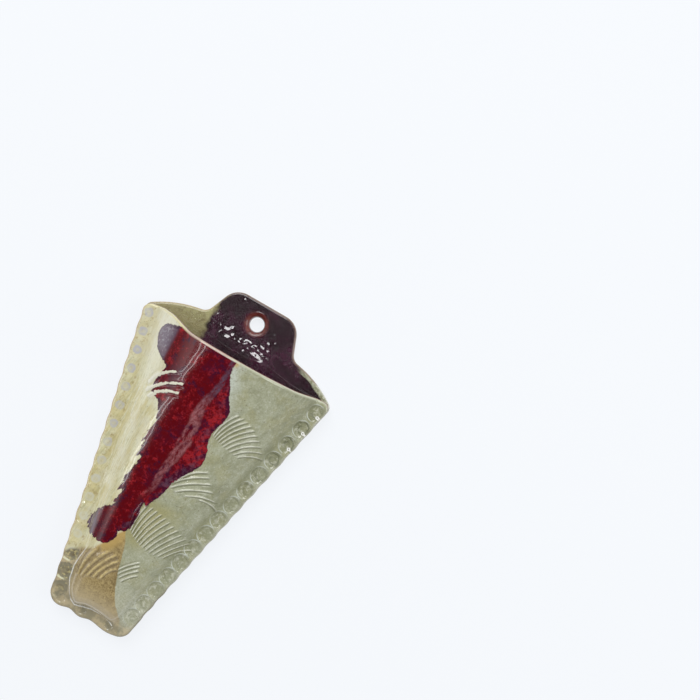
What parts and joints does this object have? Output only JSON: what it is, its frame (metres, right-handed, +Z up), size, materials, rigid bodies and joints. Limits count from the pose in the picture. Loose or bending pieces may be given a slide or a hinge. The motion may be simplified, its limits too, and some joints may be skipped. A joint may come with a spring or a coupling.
{
  "type": "hanging wall vase",
  "caption": "Tapered wall pocket of two clay slabs, the front one bowed out, with a stamped scalloped margin and a hanging hole in a raised tab.",
  "frame": {"origin": "centre of the hanging hole, on the flat rear face that lies against the wall", "axes": "+Z up, +Y into the wall, -Y out of the pocket, +X to the right seen from the front"},
  "size_m": [0.1362, 0.0437, 0.2324],
  "materials": {
    "back_glaze": "gloss",
    "front_glaze": "gloss"
  },
  "bodies": {
    "root": {"back_slab": "back_glaze", "front_slab": "front_glaze"}
  },
  "joints": []
}
